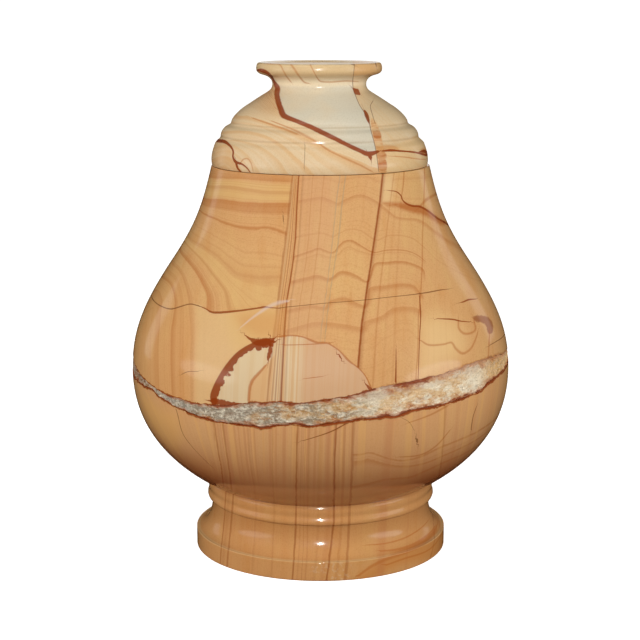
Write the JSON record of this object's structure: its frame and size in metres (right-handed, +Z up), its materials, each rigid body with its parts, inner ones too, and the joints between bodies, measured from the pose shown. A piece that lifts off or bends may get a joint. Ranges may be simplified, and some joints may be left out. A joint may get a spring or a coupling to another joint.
{
  "type": "cremation urn",
  "caption": "Pear-shaped cremation urn turned from banded stone, with a moulded foot, a crystal seam round the belly and a domed lift-off lid with a flared rim.",
  "frame": {"origin": "middle of the underside, where the foot stands on a surface", "axes": "+Z up along the turning axis; -Y faces the viewer of the picture, where the crystal seam dips left of the middle"},
  "size_m": [0.2094, 0.2091, 0.2699],
  "materials": {
    "body_stone": "polished",
    "lid_stone": "polished"
  },
  "bodies": {
    "root": {"urn_body": "body_stone", "lid": "lid_stone"}
  },
  "joints": []
}
